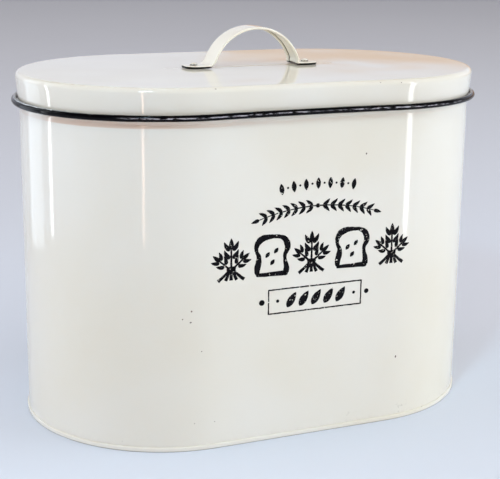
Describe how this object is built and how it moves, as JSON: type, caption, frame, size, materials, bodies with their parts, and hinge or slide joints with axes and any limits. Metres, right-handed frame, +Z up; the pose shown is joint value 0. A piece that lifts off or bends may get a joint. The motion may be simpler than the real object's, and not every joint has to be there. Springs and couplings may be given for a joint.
{
  "type": "oval lidded bread tin",
  "caption": "Straight-sided oval sheet-steel bread tin with a rolled bead round its mouth and a lift-off plug lid with a riveted strap handle.",
  "frame": {"origin": "middle of the resting plane, under the centre of the oval", "axes": "+Z up out of the mouth, +X along the oval's length, the decorated front faces -Y"},
  "size_m": [0.3408, 0.2108, 0.2712],
  "materials": {
    "cream_paint": "gloss cream paint on steel sheet",
    "black_paint": "gloss black hand-finished paint",
    "plain_steel": "plain zinc-plated steel"
  },
  "bodies": {
    "bin": {"body_wall": "cream_paint", "base_pan": "cream_paint", "rim_bead": "black_paint", "rim_wire": "plain_steel"},
    "lid": {"lid_pan": "cream_paint", "handle_strap": "cream_paint", "rivet_left": "cream_paint", "rivet_right": "cream_paint", "rivet_washer_left": "plain_steel", "rivet_washer_right": "plain_steel"}
  },
  "joints": [
    {"name": "lid_lift", "type": "slide", "parent": "bin", "child": "lid", "axis": [0, 0, 1], "range_m": [0, 0.15]}
  ]
}
